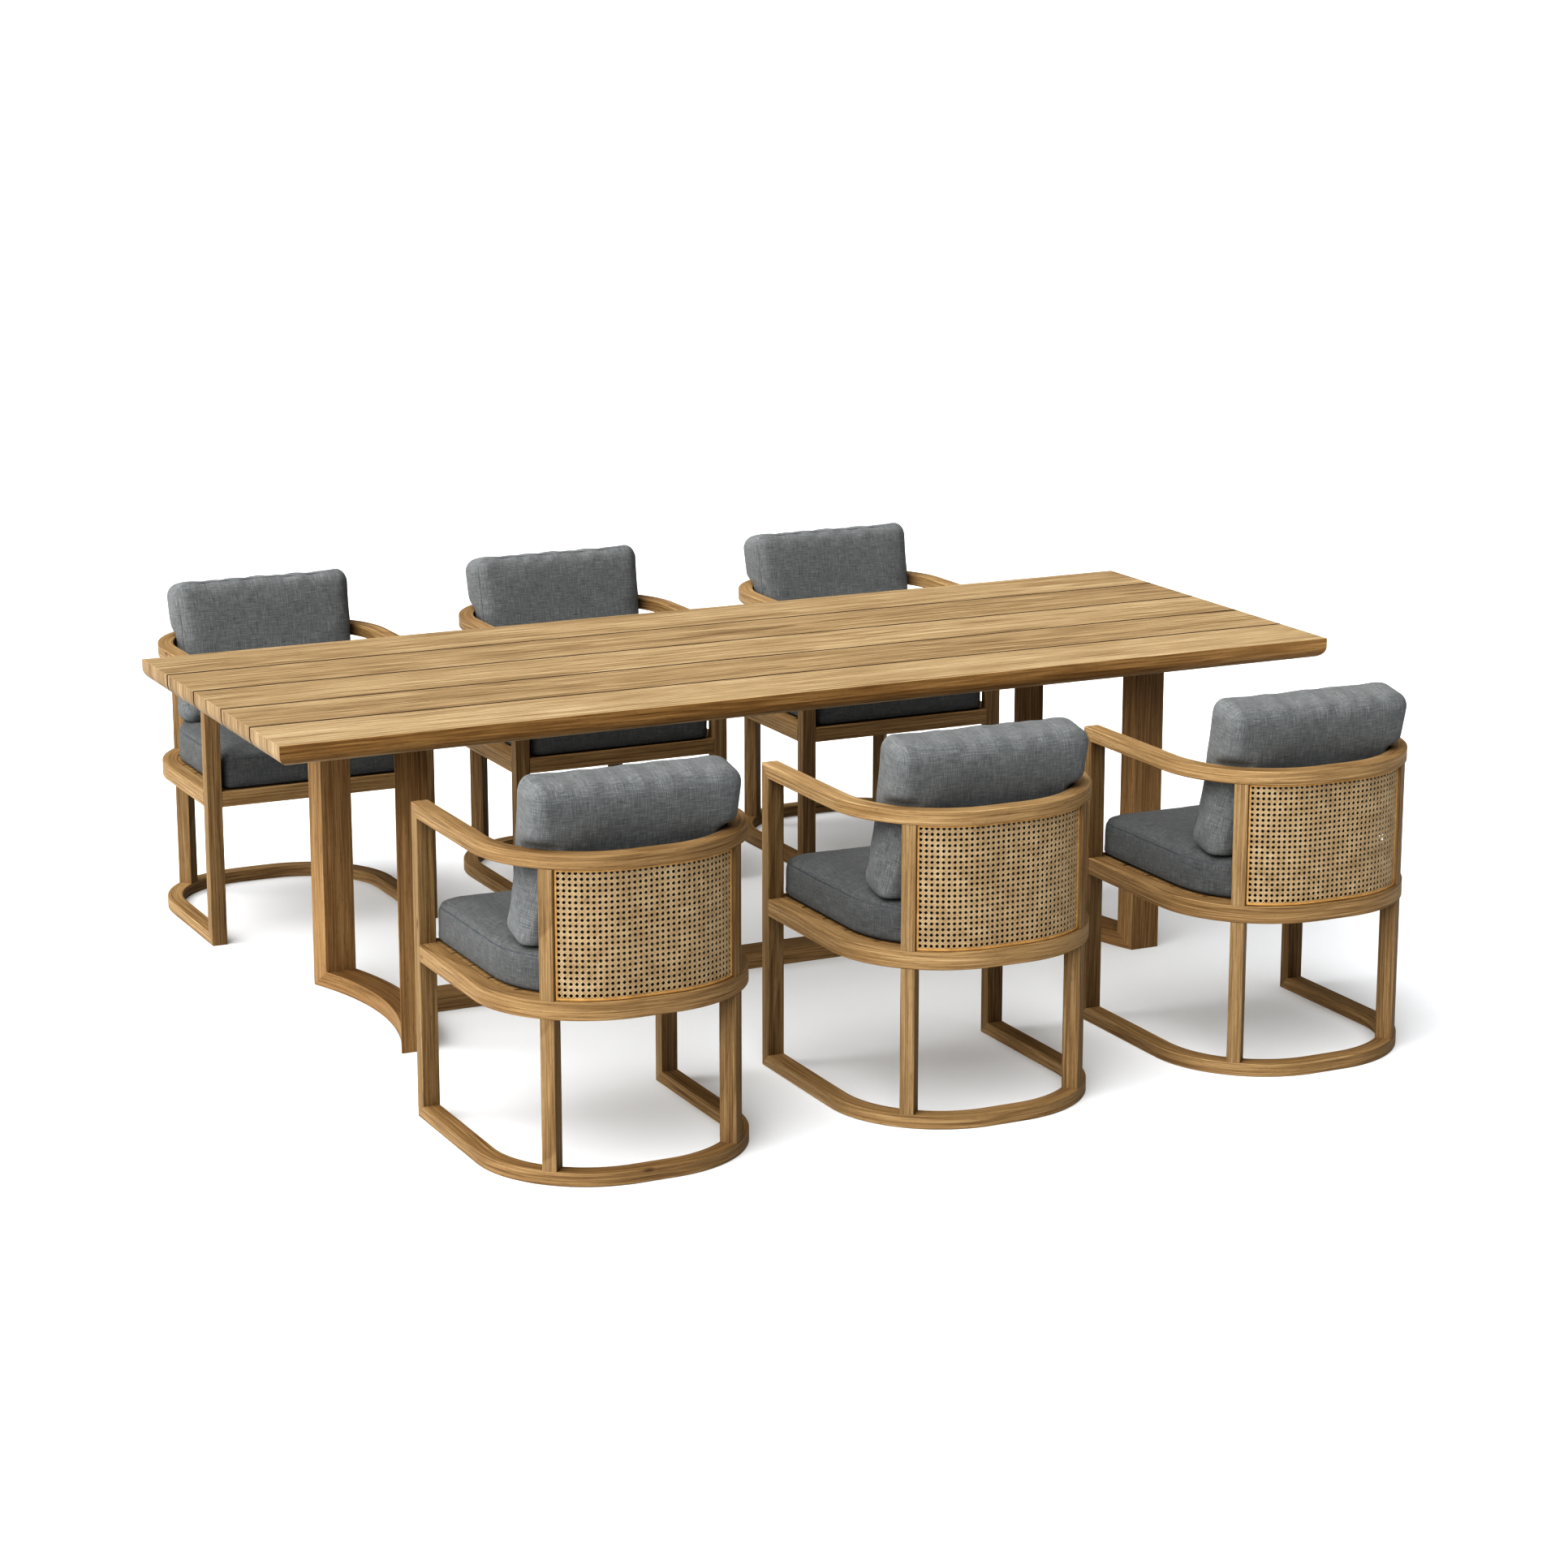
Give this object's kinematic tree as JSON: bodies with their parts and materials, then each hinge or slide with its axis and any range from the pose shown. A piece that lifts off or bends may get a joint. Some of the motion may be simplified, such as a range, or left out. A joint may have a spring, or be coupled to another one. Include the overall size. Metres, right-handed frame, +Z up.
{
  "type": "patio dining set",
  "caption": "Plank-topped patio table on bowed trestles with barrel armchairs that have cane backs and loose seat and back cushions.",
  "frame": {"origin": "on the floor under the middle of the table", "axes": "+Z up, +X along the table to the right as seen from the -Y side, +Y across the table"},
  "size_m": [2.526, 2.5184, 0.7994],
  "materials": {
    "teak_top": "oiled, fine straight grain",
    "teak_frame": "oiled, fine straight grain",
    "cane": "natural satin cane",
    "fabric": "woven outdoor linen look",
    "screw_steel": "satin"
  },
  "bodies": {
    "table": {"table_plank_1": "teak_top", "table_plank_2": "teak_top", "table_plank_3": "teak_top", "table_plank_4": "teak_top", "table_plank_5": "teak_top", "table_battens": "teak_frame", "trestle_heads": "teak_frame", "trestle_legs": "teak_frame", "trestle_foot_left": "teak_frame", "trestle_foot_right": "teak_frame", "table_stretcher": "teak_frame", "table_screws": "screw_steel"},
    "chair1": {"chair1_base_ring": "teak_frame", "chair1_posts": "teak_frame", "chair1_seat_frame": "teak_frame", "chair1_seat_slats": "teak_frame", "chair1_arm_ring": "teak_frame", "chair1_cane_panel": "cane"},
    "chair1_seat": {"chair1_seat_cushion": "fabric"},
    "chair1_back": {"chair1_back_cushion": "fabric"},
    "chair2": {"chair2_base_ring": "teak_frame", "chair2_posts": "teak_frame", "chair2_seat_frame": "teak_frame", "chair2_seat_slats": "teak_frame", "chair2_arm_ring": "teak_frame", "chair2_cane_panel": "cane"},
    "chair2_seat": {"chair2_seat_cushion": "fabric"},
    "chair2_back": {"chair2_back_cushion": "fabric"},
    "chair3": {"chair3_base_ring": "teak_frame", "chair3_posts": "teak_frame", "chair3_seat_frame": "teak_frame", "chair3_seat_slats": "teak_frame", "chair3_arm_ring": "teak_frame", "chair3_cane_panel": "cane"},
    "chair3_seat": {"chair3_seat_cushion": "fabric"},
    "chair3_back": {"chair3_back_cushion": "fabric"},
    "chair4": {"chair4_base_ring": "teak_frame", "chair4_posts": "teak_frame", "chair4_seat_frame": "teak_frame", "chair4_seat_slats": "teak_frame", "chair4_arm_ring": "teak_frame", "chair4_cane_panel": "cane"},
    "chair4_seat": {"chair4_seat_cushion": "fabric"},
    "chair4_back": {"chair4_back_cushion": "fabric"},
    "chair5": {"chair5_base_ring": "teak_frame", "chair5_posts": "teak_frame", "chair5_seat_frame": "teak_frame", "chair5_seat_slats": "teak_frame", "chair5_arm_ring": "teak_frame", "chair5_cane_panel": "cane"},
    "chair5_seat": {"chair5_seat_cushion": "fabric"},
    "chair5_back": {"chair5_back_cushion": "fabric"},
    "chair6": {"chair6_base_ring": "teak_frame", "chair6_posts": "teak_frame", "chair6_seat_frame": "teak_frame", "chair6_seat_slats": "teak_frame", "chair6_arm_ring": "teak_frame", "chair6_cane_panel": "cane"},
    "chair6_seat": {"chair6_seat_cushion": "fabric"},
    "chair6_back": {"chair6_back_cushion": "fabric"}
  },
  "joints": [
    {"name": "chair1_slide", "type": "slide", "parent": "table", "child": "chair1", "axis": [0, -1, 0], "range_m": [-0.37, 0.6]},
    {"name": "chair1_seat_lift", "type": "slide", "parent": "chair1", "child": "chair1_seat", "axis": [0, 0, 1], "range_m": [0, 0.35]},
    {"name": "chair1_back_lift", "type": "slide", "parent": "chair1_seat", "child": "chair1_back", "axis": [0, 0, 1], "range_m": [0, 0.35]},
    {"name": "chair2_slide", "type": "slide", "parent": "table", "child": "chair2", "axis": [0, -1, 0], "range_m": [-0.37, 0.6]},
    {"name": "chair2_seat_lift", "type": "slide", "parent": "chair2", "child": "chair2_seat", "axis": [0, 0, 1], "range_m": [0, 0.35]},
    {"name": "chair2_back_lift", "type": "slide", "parent": "chair2_seat", "child": "chair2_back", "axis": [0, 0, 1], "range_m": [0, 0.35]},
    {"name": "chair3_slide", "type": "slide", "parent": "table", "child": "chair3", "axis": [0, -1, 0], "range_m": [-0.37, 0.6]},
    {"name": "chair3_seat_lift", "type": "slide", "parent": "chair3", "child": "chair3_seat", "axis": [0, 0, 1], "range_m": [0, 0.35]},
    {"name": "chair3_back_lift", "type": "slide", "parent": "chair3_seat", "child": "chair3_back", "axis": [0, 0, 1], "range_m": [0, 0.35]},
    {"name": "chair4_slide", "type": "slide", "parent": "table", "child": "chair4", "axis": [0, 1, 0], "range_m": [-0.37, 0.6]},
    {"name": "chair4_seat_lift", "type": "slide", "parent": "chair4", "child": "chair4_seat", "axis": [0, 0, 1], "range_m": [0, 0.35]},
    {"name": "chair4_back_lift", "type": "slide", "parent": "chair4_seat", "child": "chair4_back", "axis": [0, 0, 1], "range_m": [0, 0.35]},
    {"name": "chair5_slide", "type": "slide", "parent": "table", "child": "chair5", "axis": [0, 1, 0], "range_m": [-0.37, 0.6]},
    {"name": "chair5_seat_lift", "type": "slide", "parent": "chair5", "child": "chair5_seat", "axis": [0, 0, 1], "range_m": [0, 0.35]},
    {"name": "chair5_back_lift", "type": "slide", "parent": "chair5_seat", "child": "chair5_back", "axis": [0, 0, 1], "range_m": [0, 0.35]},
    {"name": "chair6_slide", "type": "slide", "parent": "table", "child": "chair6", "axis": [0, 1, 0], "range_m": [-0.37, 0.6]},
    {"name": "chair6_seat_lift", "type": "slide", "parent": "chair6", "child": "chair6_seat", "axis": [0, 0, 1], "range_m": [0, 0.35]},
    {"name": "chair6_back_lift", "type": "slide", "parent": "chair6_seat", "child": "chair6_back", "axis": [0, 0, 1], "range_m": [0, 0.35]}
  ]
}
